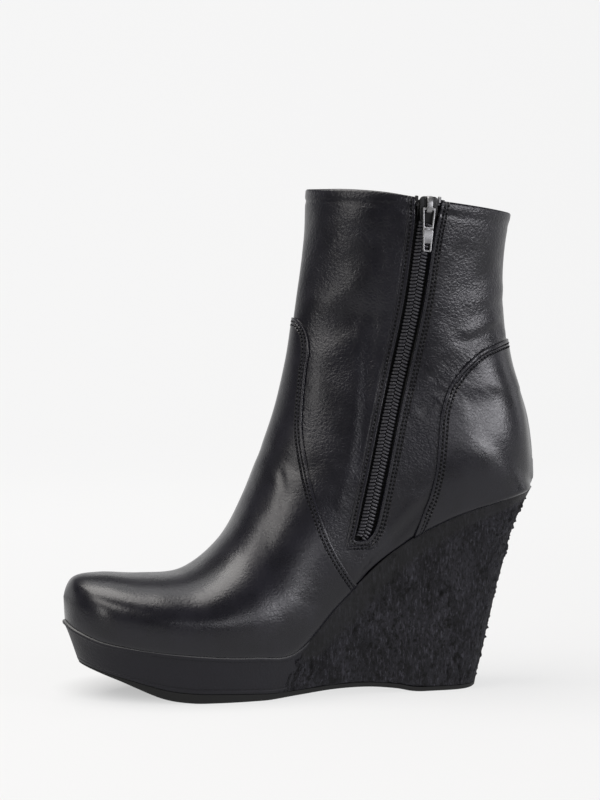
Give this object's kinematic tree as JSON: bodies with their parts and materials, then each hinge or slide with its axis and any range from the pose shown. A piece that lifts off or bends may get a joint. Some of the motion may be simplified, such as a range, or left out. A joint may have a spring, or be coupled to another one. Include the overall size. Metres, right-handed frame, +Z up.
{
  "type": "wedge ankle boot",
  "caption": "Black leather ankle boot for the right foot on a covered wedge heel and platform, with a zip up its inner side.",
  "frame": {"origin": "on the floor, in the flat spot under the wedge heel", "axes": "+Z up the shaft, -X towards the toe, -Y towards the inner side, where the zip is"},
  "size_m": [0.2359, 0.0935, 0.2459],
  "materials": {
    "upper_leather": "smooth grained leather, satin",
    "cover_leather": "smooth leather, satin",
    "wedge_leather": "rough distressed leather, matt",
    "outsole_rubber": "matt",
    "footbed": "lining leather, matt",
    "zip_tape": "woven, matt",
    "zip_coil": "satin nylon",
    "dark_metal": "dark polished",
    "pale_metal": "satin"
  },
  "bodies": {
    "boot": {"upper": "upper_leather", "insole": "footbed", "platform": "cover_leather", "wedge": "wedge_leather", "outsole": "outsole_rubber", "zip_tape": "zip_tape", "zip_chain": "zip_coil", "zip_slider": "dark_metal", "zip_stop_front": "pale_metal", "zip_stop_back": "pale_metal"},
    "pull": {"zip_pull": "pale_metal"}
  },
  "joints": [
    {"name": "pull_hinge", "type": "hinge", "parent": "boot", "child": "pull", "pos_m": [-0.00835, -0.04011, 0.23625], "axis": [-0.9986, -0.0116, 0.0523], "range_deg": [-6, 165]}
  ]
}
